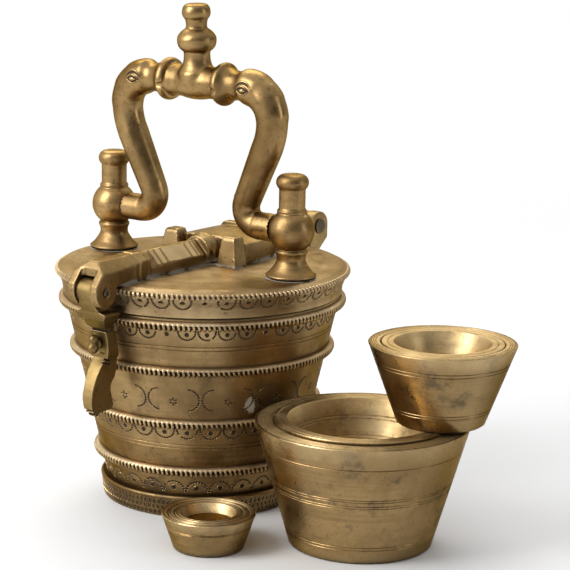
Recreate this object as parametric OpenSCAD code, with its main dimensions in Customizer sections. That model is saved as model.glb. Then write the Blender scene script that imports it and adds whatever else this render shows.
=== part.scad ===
// Nested cup weight: a lidded master cup with a swinging bail, and the smaller
// cups of the set standing beside it as two part-unpacked stacks.
// Origin at the centre of the case's foot, hasp towards -Y, hinge towards +Y, pillars on X.

/* [Case] */
// Thickness of the case's floor
case_floor = 19; // [16:0.1:24]
// Thickness of the case's wall at the rim, round the nested cup
case_wall = 4.9; // [4:0.1:7]
// Thickness of the case's wall just above the foot
case_low_wall = 3.7; // [3:0.1:5]
// How far the foot stands out from the wall above it
foot_out = 1.4; // [0.8:0.1:3]
// Height of the ridge that ends the foot
foot_h = 9.1; // [7:0.1:12]
// How far the ridge leans out over the foot
foot_ridge = 1.3; // [0.5:0.1:2.5]
// Radius of the round of the foot ridge
foot_round = 1; // [0.5:0.1:1.5]
// Height of one bead ring
bead_h = 4.2; // [3:0.1:5]
// How far a bead ring stands out from the wall
bead_out = 3.2; // [2.6:0.1:4]
// Height of the lowest bead ring above the floor
low_bead_z = 22; // [18:0.5:28]
// Height of the second bead ring above the floor
mid_bead_z = 45; // [40:0.5:50]
// Height of the third bead ring above the floor
high_bead_z = 70; // [62:0.5:70]
// Distance of the top bead ring below the rim
rim_bead_drop = 3.1; // [2.6:0.1:4]

/* [Lid] */
// How far the roped edge of the lid stands out over the case's wall
lid_over = 4.2; // [3.4:0.1:5]
// Height of the roped edge above the case rim
lid_t = 11.5; // [9:0.1:14]
// Height of the roped edge bead
lid_bead_h = 2.6; // [2:0.1:3.4]
// Rise of the lid's flat top above its roped edge
lid_crown = 1.5; // [0.5:0.1:3]
// How far the foot of the lid stands out over the case's wall
seat_over = 0.4; // [0:0.1:1]
// Depth of the lid's spigot in the mouth of the case
spigot_h = 2; // [1:0.1:2.4]
// Gap all round the spigot
spigot_gap = 0.8; // [0.6:0.05:1.5]

/* [Pillars] */
// Distance of each pillar from the middle of the lid
pillar_x = 51.5; // [49:0.5:53]
// Distance of the pillars from the middle of the lid towards the hasp
pillar_forward = 2.4; // [0:0.1:3]
// Radius of the pillar's flange
flange_r = 11.2; // [9:0.1:12]
// Thickness of the flange's round edge
flange_t = 2.7; // [2:0.1:4]
// Radius of the hollow flare above the flange
flare_r = 8; // [6:0.1:9]
// Radius of the pillar's lower neck
neck_r = 6.5; // [5.5:0.1:7.5]
// Height of the collar under the ball
collar_z = 11.5; // [10:0.1:13]
// Radius of that collar
collar_r = 7.2; // [6.5:0.1:8.5]
// Height of the ball's centre, which is the bail's pivot
pivot_z = 20.8; // [19.5:0.1:23]
// Radius of the ball
ball_r = 10.1; // [9.5:0.1:11]
// Radius of the upper neck
top_neck_r = 5.8; // [5:0.1:6.5]
// Radius of the button on top
button_r = 7.2; // [6:0.1:8]
// Height of the button
button_h = 7.2; // [6:0.1:9]
// Height of the whole pillar above the lid
pillar_h = 45.8; // [42:0.1:50]
// Radius of the riveted tenon under the pillar
tenon_r = 4; // [3:0.1:5]

/* [Bail] */
// Radius of the pivot pin at each foot of the bail
pin_r = 3; // [2.4:0.1:3.6]
// Running gap round a pivot pin
pin_gap = 0.08; // [0.03:0.01:0.1]
// Depth of the pin in the ball, past the ball's middle
pin_past = 2; // [0:0.1:4]
// Gap between the cupped foot of the bail and the ball
ball_gap = 0.6; // [0.3:0.1:1.2]
// Radius of the bail's foot
foot_rod_r = 6.1; // [5.4:0.1:6.6]
// Radius of the bail's arm at the shoulder
shoulder_r = 8.2; // [7:0.1:9]
// Radius of the bail's arm where it bows below the shoulder
bow_rod_r = 7; // [6.2:0.1:8]
// Bend radius of the elbow above the foot, at mid-rod
elbow_r = 7.2; // [6.9:0.1:8]
// Angle at which the arms lean apart above the elbow
arm_lean = 25; // [22:0.5:28]
// Bend radius of the shoulder, at mid-rod
shoulder_bend = 13.4; // [11:0.1:15]
// Half width of the bail across its shoulders, at mid-rod
bail_half_w = 41.5; // [39:0.1:43]
// Height of the mid-rod of the cross piece above the pivot
bail_h = 61.3; // [58:0.1:70]
// Radius of the barrel in the middle of the cross piece
barrel_r = 8.1; // [7.4:0.1:9]
// Radius of the barrel's ends, in the jaws
barrel_end_r = 7.2; // [6.4:0.1:7.4]
// Distance of the widest part of the lips from the middle of the barrel
lip_x = 16; // [14:0.1:18]
// Radius of the flared lips that hold the barrel
lip_r = 9.7; // [9:0.1:11]
// Radius of the snout behind the lips
snout_r = 6.5; // [6:0.1:7.2]
// Depth of the corner of the mouth in the lips
mouth_cut = 2.2; // [1.4:0.1:2.6]
// Radius of an eye
eye_r = 1.8; // [1.4:0.1:2.2]
// Height of the finial above the mid-rod
finial_h = 34.5; // [30:0.1:38]
// Radius of the finial's neck
finial_neck_r = 5.9; // [5:0.1:6.6]
// Radius of the finial's lower bun
finial_r = 8.8; // [7:0.1:10]
// Radius of the finial's waist
finial_waist_r = 4.7; // [4:0.1:5.4]
// Radius of the finial's top bun
finial_top_r = 6.4; // [5:0.1:7.5]
// Angle by which the bail leans to the front
bail_lean = 2.5; // [0:0.5:5]

/* [Strap] */
// Half width of the fork that holds the hasp
fork_half = 8.3; // [7.5:0.1:9.5]
// Half width of the slot in the fork
slot_half = 4.4; // [3.6:0.1:5]
// Height of the hasp pin below the lid's flat top
hasp_pin_drop = 1.6; // [0:0.1:2.5]
// Radius of the round ears of the fork
ear_r = 6.7; // [6:0.1:7]
// Height of the strap's front bar
bar_h = 11.2; // [10:0.1:13]
// Height of the front bar's upright sides
bar_side_h = 6.8; // [5:0.1:8]
// Radius of the swelling in the front half
swell_r = 7.4; // [6.5:0.1:8]
// Half width of the hinge half of the strap
tail_half = 20; // [17:0.5:22]
// Height of the hinge half of the strap
tail_h = 12; // [10:0.1:13]
// Height of the two side lugs
lug_h = 13.4; // [11:0.1:13.6]
// Radius of the rivets that hold the strap
strap_rivet_r = 2.5; // [2:0.1:3]

/* [Hinge] */
// Distance of the hinge pin behind the lid's edge
hinge_out = 8.5; // [8:0.1:10]
// Height of the hinge pin above the lid's flat top
hinge_up = 6.9; // [6.5:0.1:8]
// Radius of the hinge barrels
hinge_r = 7; // [6:0.1:7.2]
// Radius of the hinge pin
hinge_pin_r = 2.5; // [2:0.1:3]
// Half width of the strap's middle barrel
knuckle_half = 4.6; // [4:0.1:6]
// Width of each outer barrel
hinge_ear_w = 5.4; // [4.6:0.1:7]
// Gap at each side of the middle barrel
hinge_gap = 0.3; // [0.2:0.05:0.5]
// How far the bracket's back lies in front of the hinge pin
bracket_inset = 6; // [4.5:0.1:6.5]
// Distance of the bracket's plate below the case rim
bracket_drop = 2.6; // [2:0.1:4]
// Distance of the bracket's plate above the bead ring under it
bracket_lift = 3; // [2:0.1:5]
// Radius of the rivets that hold the hinge bracket
bracket_rivet_r = 2.2; // [1.8:0.1:2.6]
// Depth of those rivets in the case's wall
bracket_rivet_depth = 3.4; // [2.4:0.1:3.6]
// Width of the bracket outside a rivet's head
bracket_edge = 0.7; // [0.4:0.1:1.4]

/* [Hasp] */
// Length of the hasp below its pin
hasp_drop = 55.6; // [50:0.1:60]
// Depth of the hasp behind its pin, at the shoulder
hasp_back = 8.8; // [8:0.1:9.6]
// Gap between the hasp and the top bead ring
hasp_gap = 0.91; // [0.6:0.01:1.4]
// Radius of the hasp's pin
hasp_pin_r = 1.6; // [1.2:0.1:2]
// Radius of the hasp's knuckle
hasp_knuckle_r = 5.4; // [4.6:0.1:5.8]
// Half width of the hasp's shoulder
shoulder_half = 6.6; // [5.6:0.1:7.6]
// Half width of the hasp's panel
panel_half = 5.2; // [4.4:0.1:6]
// Half width of the hasp's finger leg
leg_half = 3.5; // [2.8:0.1:4]
// Radius of the turn knob's spindle
spindle_r = 1.5; // [1.2:0.1:1.8]
// Radius of the larger lobe of the turn knob
lobe_r = 2.5; // [2:0.1:3]

/* [Cup 1, in the case] */
// Wall at the rim, round cup 2's place
cup_1_wall = 11.2; // [9:0.1:13]
// Wall at the bottom of that place
cup_1_low_wall = 8.3; // [6:0.1:10]
// Floor under that place
cup_1_floor = 19.3; // [16:0.1:22]

/* [Cup 2, standing by the case] */
// Wall at the rim, round cup 3's place
cup_2_wall = 7.5; // [6:0.1:9]
// Wall at the bottom of that place
cup_2_low_wall = 5.1; // [4:0.1:7]
// Floor under that place
cup_2_floor = 10; // [8:0.1:12]

/* [Cup 3, in cup 2] */
// Wall at the rim, round cup 4's place
cup_3_wall = 6.4; // [5:0.1:8]
// Wall at the bottom of that place
cup_3_low_wall = 6.4; // [5:0.1:8]
// Floor under that place
cup_3_floor = 10.2; // [8:0.1:12]
// How far this cup stands proud of cup 2
cup_3_proud = 1.3; // [0.5:0.1:2]

/* [Cup 4, set down on cup 3] */
// Wall at the rim, round cup 5's place
cup_4_wall = 5.2; // [4:0.1:7]
// Wall at the bottom of that place
cup_4_low_wall = 2.2; // [1.6:0.1:4]
// Floor under that place
cup_4_floor = 6.8; // [5:0.1:8]

/* [Cup 5, in cup 4] */
// Wall at the rim, round cup 6's place
cup_5_wall = 5.6; // [4:0.1:7]
// Wall at the bottom of that place
cup_5_low_wall = 1; // [0.8:0.1:3]
// Floor under that place
cup_5_floor = 12.4; // [10:0.1:14]

/* [Cup 6, the small stack] */
// Wall at the rim, round cup 7's place
cup_6_wall = 2.7; // [2:0.1:4]
// Wall at the bottom of that place
cup_6_low_wall = 1.9; // [1.4:0.1:3]
// Floor under that place
cup_6_floor = 2.8; // [2:0.1:4]

/* [Cup 7, in cup 6] */
// Wall at the rim, round cup 8's place
cup_7_wall = 2.4; // [1.8:0.1:3.4]
// Wall at the bottom of that place
cup_7_low_wall = 1.6; // [1.2:0.1:2.6]
// Floor under that place
cup_7_floor = 2.4; // [1.8:0.1:3.4]

/* [Cup 8, in cup 7] */
// Wall at the rim, round the core weight's place
cup_8_wall = 2.73; // [2:0.01:3.4]
// Wall at the bottom of that place
cup_8_low_wall = 1.7; // [1.2:0.1:2.6]
// Floor under that place
cup_8_floor = 2.4; // [1.8:0.1:3.4]

/* [Core weight, in cup 8] */
// Rim radius
core_rim = 10.2; // [9.4:0.1:10.6]
// Base radius
core_base = 8.8; // [8:0.1:9]
// Height
core_h = 4.2; // [3:0.1:5]
// Depth of the hollow that the core weight lies in
core_hollow = 8; // [7:0.1:8.6]

/* [Fits and places] */
// Gap all round a nested cup
cup_gap = 0.3; // [0.2:0.05:0.4]
// Chamfer round the base of a cup
cup_chamfer = 0.8; // [0.4:0.1:1.2]
// Gap between cup 1's rim and the lid's spigot
cup_1_headroom = 0.6; // [0.3:0.1:1.5]
// Fit of a rivet or tenon in its hole
rivet_fit = 0.04; // [0.02:0.01:0.06]
// Least gap between cup 2 and the case
stack_gap = 0.9; // [0.5:0.1:10]
// Bearing of cup 2 from the case
stack_angle = -7.8; // [-20:0.1:10]
// Distance of cup 4 from the middle of cup 3
perch_offset = 33; // [28:0.5:36]
// Bearing of cup 4 from the middle of cup 3
perch_angle = 29; // [0:1:60]
// Distance of the small stack from the middle of the case
small_stack_r = 82; // [78:0.5:110]
// Bearing of the small stack from the case
small_stack_angle = -48.6; // [-70:0.1:-35]

/* [Hidden] */
$fn = 64;
brass = "#9c7a3c";
pale_brass = "#ad8c50";
dark_brass = "#85662f";
iron = "#5b564e";

// The cups, from the core weight outwards: each is as large as its walls round the next one ask
core_mouth = core_base + cup_gap + (core_rim - core_base) * core_hollow / core_h;
cup_8_rim = core_mouth + cup_8_wall;
cup_8_base = core_base + cup_gap + cup_8_low_wall;
cup_8_h = core_hollow + cup_8_floor;
cup_7_rim = cup_8_rim + cup_gap + cup_7_wall;
cup_7_base = cup_8_base + cup_gap + cup_7_low_wall;
cup_7_h = cup_8_h + cup_7_floor;
cup_6_rim = cup_7_rim + cup_gap + cup_6_wall;
cup_6_base = cup_7_base + cup_gap + cup_6_low_wall;
cup_6_h = cup_7_h + cup_6_floor;
cup_5_rim = cup_6_rim + cup_gap + cup_5_wall;
cup_5_base = cup_6_base + cup_gap + cup_5_low_wall;
cup_5_h = cup_6_h + cup_5_floor;
cup_4_rim = cup_5_rim + cup_gap + cup_4_wall;
cup_4_base = cup_5_base + cup_gap + cup_4_low_wall;
cup_4_h = cup_5_h + cup_4_floor;
cup_3_rim = cup_4_rim + cup_gap + cup_3_wall;
cup_3_base = cup_4_base + cup_gap + cup_3_low_wall;
cup_3_h = cup_4_h + cup_3_floor;
cup_2_rim = cup_3_rim + cup_gap + cup_2_wall;
cup_2_base = cup_3_base + cup_gap + cup_2_low_wall;
cup_2_h = cup_3_h - cup_3_proud + cup_2_floor;
cup_1_rim = cup_2_rim + cup_gap + cup_1_wall;
cup_1_base = cup_2_base + cup_gap + cup_1_low_wall;
cup_1_h = cup_2_h + cup_1_floor;

// The case, round cup 1
cup_1_z = case_floor;
case_h = case_floor + cup_1_h + cup_1_headroom + spigot_h;
wall_rim_r = cup_1_rim + cup_gap + case_wall;
wall_low_r = cup_1_base + cup_gap + case_low_wall;
foot_r = wall_low_r + foot_out;
wall_z0 = foot_h + foot_round;
function wall_r(z) = wall_low_r + (wall_rim_r - wall_low_r) * (z - wall_z0) / (case_h - wall_z0);
rim_bead_z = case_h - rim_bead_drop;
bead_zs = [low_bead_z, mid_bead_z, high_bead_z, rim_bead_z];

// The lid
lid_r = wall_rim_r + lid_over;
lid_seat_r = wall_rim_r + seat_over;
lid_z = case_h + lid_t + lid_crown;
spigot_r = cup_1_rim + cup_gap - spigot_gap;
lid_shoulder = lid_r - lid_bead_h / 2;

// Pivots
pivot = lid_z + pivot_z;
hasp_y = -wall_r(rim_bead_z) - bead_out - hasp_gap - hasp_back;
hasp_z = lid_z - hasp_pin_drop;
hinge_y = lid_r + hinge_out;
hinge_z = lid_z + hinge_up;

// The hinge bracket on the back of the case
hinge_half = knuckle_half + hinge_gap + hinge_ear_w;
bracket_back = hinge_y - bracket_inset;
bracket_top = case_h - bracket_drop;
bracket_bottom = high_bead_z + bead_h / 2 + bracket_lift;
bracket_rivet_x = hinge_half - bracket_edge - 2 * bracket_rivet_r;
bracket_rivet_z = (bracket_bottom + bracket_top) / 2;

// The strap's main stations along the lid
bar_end = -lid_r + 23;
swell_end = -4;
tail_front = 3;
strap_rivets_xy = [[0, -lid_r + 17], [-13, 16], [13, 16], [0, 46]];

// Where the loose cups stand
function cup_r(rim, base, h, z) = base + (rim - base) * min(z, h) / h;
case_reach = max(concat(
    [wall_r(cup_2_h) + cup_2_rim],
    [for (z = bead_zs)
        if (z - bead_h / 2 < cup_2_h)
            wall_r(z) + bead_out + cup_r(cup_2_rim, cup_2_base, cup_2_h, z)]));
stack_at = (case_reach + stack_gap) * [cos(stack_angle), sin(stack_angle)];
cup_3_z = cup_2_h + cup_3_proud - cup_3_h;
cup_4_z = cup_3_z + cup_3_h;
perch_at = stack_at + perch_offset * [cos(perch_angle), sin(perch_angle)];
cup_5_z = cup_4_z + cup_4_h - cup_5_h;
small_at = small_stack_r * [cos(small_stack_angle), sin(small_stack_angle)];
cup_7_z = cup_6_h - cup_7_h;
cup_8_z = cup_7_z + cup_7_h - cup_8_h;
core_z = cup_8_z + cup_8_h - core_hollow;

// Shapes that repeat

// An outline in Y and Z, drawn out evenly to both sides across X
module across(width) {
    rotate([90, 0, 90]) translate([0, 0, -width / 2]) linear_extrude(width) children();
}

// An outline in X and Z, drawn out along Y from y0 to y1
module along(y0, y1) {
    translate([0, y1, 0]) rotate([90, 0, 0]) linear_extrude(y1 - y0) children();
}

// A round bar along X, centred on x = 0
module cross_rod(y, z, r, length) {
    translate([-length / 2, y, z]) rotate([0, 90, 0]) cylinder(r = r, h = length);
}

// A turned disc whose edge is a full round
module round_disc(r, h) {
    rotate_extrude() {
        intersection() {
            translate([r - h / 2, 0]) circle(h / 2);
            translate([0, -h]) square([r, 2 * h]);
        }
        translate([0, -h / 2]) square([r - h / 2, h]);
    }
}

// Points of a smooth curve through three control points
function bend(a, b, c, n = 6) = [for (i = [0:n]) let (t = i / n)
    (1 - t) * (1 - t) * a + 2 * t * (1 - t) * b + t * t * c];

function mirrored(points) = concat(points, [for (i = [len(points) - 1:-1:0]) [-points[i][0], points[i][1]]]);

// The case

module case_outline() {
    polygon([[0, 0], [foot_r, 0], [foot_r + foot_ridge - foot_round, foot_h], [wall_low_r, wall_z0],
             [wall_rim_r, case_h], [0, case_h]]);
    translate([foot_r + foot_ridge - foot_round, foot_h]) circle(foot_round);
    for (z = bead_zs) bead_outline(z);
}

module bead_outline(z) {
    crest = wall_r(z) + bead_out - bead_h / 2;
    root = wall_r(z) - bead_h / 2;
    translate([crest, z]) circle(bead_h / 2);
    translate([root, z - bead_h / 2]) square([crest - root, bead_h]);
}

// The hollow that a nested cup drops into, open at the top
module nest_hollow(rim, base, depth, h) {
    slope = (rim - base) / h;
    polygon([[0, 0], [base + cup_gap, 0], [base + cup_gap + slope * (depth + 1), depth + 1], [0, depth + 1]]);
}

module bracket_rivet_shank(grow) {
    for (side = [-1, 1])
        translate([side * bracket_rivet_x, bracket_back, bracket_rivet_z]) rotate([90, 0, 0])
            cylinder(r = bracket_rivet_r + grow,
                     h = bracket_back - wall_r(bracket_rivet_z) + bracket_rivet_depth + grow);
}

module case_body() {
    color(brass) difference() {
        rotate_extrude() difference() {
            case_outline();
            translate([0, cup_1_z])
                nest_hollow(cup_1_rim, cup_1_base, case_h - cup_1_z, cup_1_h);
        }
        bracket_rivet_shank(rivet_fit);
    }
}

// The hinge

module hinge_ear_outline() {
    root = wall_rim_r - case_wall;
    cut = bracket_inset / 2;
    translate([hinge_y, hinge_z]) circle(hinge_r);
    polygon([[hinge_y - hinge_r, hinge_z], [hinge_y - hinge_r, case_h + hinge_gap], [root, bracket_top],
             [root, bracket_bottom], [bracket_back - cut, bracket_bottom],
             [bracket_back, bracket_bottom + cut], [bracket_back, case_h + cut],
             [hinge_y + hinge_r, hinge_z - bracket_inset],
             [hinge_y + hinge_r, hinge_z]]);
}

module hinge_bracket() {
    color(dark_brass) difference() {
        union() {
            for (side = [-1, 1])
                translate([side * (hinge_half - hinge_ear_w / 2), 0, 0])
                    across(hinge_ear_w) hinge_ear_outline();
            across(2 * hinge_half - hinge_ear_w) intersection() {
                hinge_ear_outline();
                translate([0, bracket_bottom]) square([bracket_back, bracket_top - bracket_bottom]);
            }
        }
        rotate_extrude() {
            case_outline();
            translate([0, case_h - 1]) square([wall_rim_r, 2]);
        }
        cross_rod(hinge_y, hinge_z, hinge_pin_r + rivet_fit, 3 * hinge_half);
        bracket_rivet_shank(rivet_fit);
    }
}

module bracket_rivets() {
    color(pale_brass) {
        bracket_rivet_shank(0);
        for (side = [-1, 1])
            translate([side * bracket_rivet_x, bracket_back, bracket_rivet_z]) rotate([-90, 0, 0])
                intersection() {
                    translate([0, 0, -1.4 * bracket_rivet_r]) sphere(2.2 * bracket_rivet_r);
                    cylinder(r = 2 * bracket_rivet_r, h = 3 * bracket_rivet_r);
                }
    }
}

module hinge_pin() {
    color(iron) {
        cross_rod(hinge_y, hinge_z, hinge_pin_r, 2 * hinge_half + 1);
        for (side = [-1, 1])
            translate([side * (hinge_half + 0.5), hinge_y, hinge_z]) rotate([0, 90, 0])
                round_disc(hinge_pin_r + 1, 1);
    }
}

// The lid

module lid_outline() {
    edge_z = lid_z - lid_crown;
    polygon(concat(
        [[0, case_h - spigot_h], [spigot_r, case_h - spigot_h], [spigot_r, case_h], [lid_seat_r, case_h]],
        bend([lid_seat_r, case_h + 1], [lid_seat_r + 0.6, edge_z - 5], [lid_shoulder, edge_z - lid_bead_h]),
        [[lid_shoulder, edge_z], [lid_shoulder - 2 * lid_crown, lid_z], [0, lid_z]]));
    translate([lid_r - lid_bead_h / 2, edge_z - lid_bead_h / 2]) circle(lid_bead_h / 2);
}

module lid() {
    color(brass) difference() {
        rotate_extrude() lid_outline();
        for (side = [-1, 1])
            translate([side * pillar_x, -pillar_forward, 0]) cylinder(r = tenon_r + rivet_fit, h = 2 * lid_z);
        strap_rivet_shanks(rivet_fit);
    }
}

module strap_rivet_shanks(grow) {
    for (at = strap_rivets_xy)
        translate([at[0], at[1], case_h - spigot_h])
            cylinder(r = strap_rivet_r + grow, h = lid_z + bar_side_h - 1 + grow - case_h + spigot_h);
}

module strap_rivets() {
    color(pale_brass) strap_rivet_shanks(0);
}

// The pillars

module pillar_body() {
    rotate_extrude() {
        difference() {
            square([flange_r - flange_t / 2, collar_z]);
            translate([neck_r + flare_r, collar_z]) circle(flare_r);
            translate([neck_r + flare_r, collar_z]) square(2 * flare_r);
        }
        translate([flange_r - flange_t / 2, flange_t / 2]) circle(flange_t / 2);
        square([flange_r - flange_t / 2, flange_t]);
    }
    translate([0, 0, collar_z]) round_disc(collar_r, 2.2);
    translate([0, 0, pivot_z]) sphere(ball_r);
    translate([0, 0, pivot_z + ball_r - 1.4]) round_disc(top_neck_r + 0.8, 2);
    translate([0, 0, pivot_z]) cylinder(r = top_neck_r, h = pillar_h - button_h / 2 - pivot_z);
    translate([0, 0, pillar_h - button_h / 2]) round_disc(button_r, button_h);
    translate([0, 0, case_h - spigot_h - lid_z]) cylinder(r = tenon_r, h = lid_z - case_h + spigot_h + 1);
}

module pillar(side) {
    color(pale_brass) translate([0, -pillar_forward, 0]) difference() {
        translate([side * pillar_x, 0, lid_z]) pillar_body();
        translate([side * (pillar_x + pin_past + 0.4), 0, pivot]) rotate([0, -side * 90, 0])
            cylinder(r = pin_r + pin_gap, h = 2 * ball_r);
    }
}

module left_pillar() {
    pillar(-1);
}

module right_pillar() {
    pillar(1);
}

// The bail: two beast-headed arms that hold a barrel with a finial

// Mid-rod of the right arm, in X and Z above the pivot: foot, elbow, leaning part, bow, shoulder, snout
elbow_x = bail_half_w - 8;
lean_x = elbow_x - elbow_r * cos(arm_lean);
lean_z = elbow_r + elbow_r * sin(arm_lean);
bow_z = bail_h - shoulder_bend;
bow_r = (lean_x + tan(arm_lean) * (bow_z - lean_z) - bail_half_w)
    / (tan(arm_lean) * sin(arm_lean) + cos(arm_lean) - 1);
lean_length = (bow_z - bow_r * sin(arm_lean) - lean_z) / cos(arm_lean);
rod_step = 0.15;
lap = 1.5;

// A piece of bent round rod in X and Z
module rod_bend(x, z, bend_r, from, to, r) {
    translate([x, 0, z]) rotate([90, 0, 0]) rotate([0, 0, from]) rotate_extrude(angle = to - from)
        translate([bend_r, 0]) circle(r);
}

module arm() {
    grow = (shoulder_r - bow_rod_r) / 3;
    translate([elbow_x, 0, 0]) rotate([0, 90, 0])
        cylinder(r = foot_rod_r + rod_step, h = pillar_x - ball_r + 2 - elbow_x);
    rod_bend(elbow_x, elbow_r, elbow_r, 180 - arm_lean - lap, 270 + lap, foot_rod_r);
    translate([lean_x, 0, lean_z]) rotate([0, arm_lean, 0])
        cylinder(r1 = foot_rod_r + rod_step, r2 = bow_rod_r + rod_step, h = lean_length);
    rod_bend(bail_half_w - bow_r, bow_z, bow_r, -arm_lean - lap, lap, bow_rod_r);
    for (i = [0:2])
        rod_bend(bail_half_w - shoulder_bend, bow_z, shoulder_bend, 30 * i, 30 * i + 30 + lap,
                 bow_rod_r + grow * (i + 1));
}

// Snout and flared lips of one head, turned about the cross piece, from the shoulder to the mouth
module snout() {
    shoulder_x = bail_half_w - shoulder_bend;
    dip_x = (shoulder_x + lip_x) / 2 + 2;
    mouth_x = lip_x - 2.4;
    rotate([0, 90, 0]) rotate_extrude() polygon(concat(
        [[0, shoulder_x + 0.6], [shoulder_r - rod_step, shoulder_x + 0.6]],
        bend([shoulder_r - rod_step, shoulder_x], [snout_r, dip_x + 2], [snout_r, dip_x]),
        bend([snout_r, dip_x - 0.6], [snout_r + 0.2, lip_x + 3], [lip_r - 0.5, lip_x + 1.2]),
        bend([lip_r - 0.2, lip_x + 0.8], [lip_r + 0.3, lip_x - 0.6], [lip_r - 0.9, mouth_x]),
        [[0, mouth_x]]));
}

// The corners of the mouth part each lip into an upper and a lower lobe
module mouth_corners() {
    for (side = [-1, 1])
        translate([lip_x - 3, side * lip_r, -lip_r / 5]) rotate([0, 90, 0])
            cylinder(r1 = mouth_cut, r2 = mouth_cut / 4, h = 5.4);
}

module head() {
    translate([0, 0, bail_h]) difference() {
        snout();
        mouth_corners();
    }
    for (side = [-1, 1])
        translate([bail_half_w - shoulder_bend + 3.4, side * (shoulder_r - eye_r / 2), bail_h - 0.2])
            sphere(eye_r);
}

// Barrel between the heads, swelling towards the middle
module bail_barrel() {
    half = lip_x - 1;
    rotate([0, 90, 0]) rotate_extrude() polygon(concat(
        [[0, -half], [barrel_end_r, -half]],
        bend([barrel_end_r, -half / 2], [barrel_r, -half / 4], [barrel_r, 0], 4),
        bend([barrel_r, 0.3], [barrel_r, half / 4], [barrel_end_r, half / 2], 4),
        [[barrel_end_r, half], [0, half]]));
}

// Finial: a neck that spreads into the barrel, a bun, a waist and a top bun
module bail_finial() {
    h = finial_h;
    rotate_extrude() polygon(concat(
        [[0, 0], [finial_r, 0]],
        bend([finial_r, 0.13 * h], [finial_neck_r, 0.2 * h], [finial_neck_r, 0.34 * h]),
        bend([finial_neck_r, 0.39 * h], [finial_r, 0.43 * h], [finial_r, 0.53 * h]),
        bend([finial_r, 0.56 * h], [finial_r - 0.6, 0.63 * h], [finial_waist_r, 0.69 * h]),
        bend([finial_waist_r, 0.73 * h], [finial_waist_r, 0.81 * h], [finial_top_r - 0.4, 0.83 * h]),
        bend([finial_top_r, 0.87 * h], [finial_top_r + 0.1, h], [finial_top_r / 2, h]),
        [[0, h]]));
}

// One arm with its cupped foot, its head and the pin that turns in the pillar's ball
module bail_half() {
    difference() {
        arm();
        translate([pillar_x, 0, 0]) sphere(ball_r + ball_gap);
    }
    head();
    translate([elbow_x, 0, 0]) rotate([0, 90, 0]) cylinder(r = pin_r, h = pillar_x + pin_past - elbow_x);
}

module bail_upright() {
    for (side = [0, 1]) mirror([side, 0, 0]) bail_half();
    translate([0, 0, bail_h]) bail_barrel();
    translate([0, 0, bail_h]) bail_finial();
}

module bail() {
    color(brass) translate([0, -pillar_forward, pivot]) rotate([bail_lean, 0, 0]) bail_upright();
}

// The strap along the lid

module bar_section(grow) {
    half = fork_half + grow;
    flat = fork_half - 5.8 + grow;
    polygon([[-half, 0], [half, 0], [half, lid_z + bar_side_h + grow], [flat, lid_z + bar_h + grow],
             [-flat, lid_z + bar_h + grow], [-half, lid_z + bar_side_h + grow]]);
}

module fork_outline() {
    translate([hasp_y, hasp_z]) circle(ear_r);
    polygon([[hasp_y - ear_r, hasp_z], [hasp_y - ear_r + 0.6, hasp_z + 3.6], [hasp_y + 1, lid_z + bar_h],
             [bar_end, lid_z + bar_h], [bar_end, lid_z], [hasp_y + ear_r, lid_z], [hasp_y + ear_r, hasp_z]]);
}

module front_bar() {
    difference() {
        intersection() {
            across(4 * fork_half) fork_outline();
            along(hasp_y - 2 * ear_r, bar_end) bar_section(0);
            linear_extrude(2 * lid_z) bar_plan(0);
        }
        translate([-slot_half, hasp_y - 3 * ear_r, 0])
            cube([2 * slot_half, 3 * ear_r + hasp_knuckle_r + 0.6, hasp_z + hasp_knuckle_r + 1]);
        translate([-slot_half, hasp_y - 3 * ear_r, 0]) cube([2 * slot_half, 3 * ear_r - 1.2, 2 * lid_z]);
    }
    bar_ring(-11.6, 1.8, 0.2);
    bar_ring(-7.6, 4.4, 0.5);
    bar_ring(-1.6, 1.9, 0.2);
}

// A raised ring across the bar, at a distance from the bar's end
module bar_ring(from_end, width, proud) {
    y = bar_end + from_end;
    intersection() {
        along(y, y + width) bar_section(proud);
        translate([0, 0, lid_z]) linear_extrude(2 * bar_h) bar_plan(proud);
    }
}

// The bar seen from above, narrowing towards its end
module bar_plan(grow) {
    half = fork_half + grow;
    polygon(mirrored([[half, hasp_y - 2 * ear_r], [half, -lid_r], [half - 2, bar_end + 1]]));
}

// A curve along the swelling's length, from its ends to its middle
function along_swell(end, middle) =
    bend([bar_end - 0.5, end], [(bar_end + swell_end) / 2, 2 * middle - end], [swell_end + 0.5, end], 10);

// What lies below such a curve
module under_swell(end, middle) {
    polygon(concat([[bar_end - 0.5, -lid_z]], along_swell(end, middle), [[swell_end + 0.5, -lid_z]]));
}

// Faceted body between the bar and the hinge half: bowed sides, sloping faces and a leaf-shaped top
module swelling() {
    intersection() {
        linear_extrude(2 * lid_z)
            polygon(mirrored([for (p = along_swell(swell_r - 1.5, swell_r)) [p[1], p[0]]]));
        translate([0, 0, lid_z]) across(4 * swell_r) under_swell(swell_r + 3.3, swell_r + 3.8);
        translate([0, 0, lid_z + 2]) rotate([0, 45, 0])
            across(8 * swell_r) under_swell(swell_r - 1.6, swell_r);
        translate([0, 0, lid_z + 2]) rotate([0, -45, 0])
            across(8 * swell_r) under_swell(swell_r - 1.6, swell_r);
        translate([-swell_r, bar_end - 1, lid_z])
            cube([2 * swell_r, swell_end - bar_end + 2, 3 * swell_r]);
    }
    intersection() {
        translate([0, tail_front + 1, lid_z + 4.8]) rotate([90, 0, 0]) {
            cylinder(r = swell_r, h = tail_front + 1 - swell_end + 1);
            translate([0, 0, 2.4]) cylinder(r = swell_r + 1, h = 3.2);
        }
        translate([-2 * swell_r, swell_end - 2, lid_z])
            cube([4 * swell_r, tail_front - swell_end + 4, 3 * swell_r]);
    }
}

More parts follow.
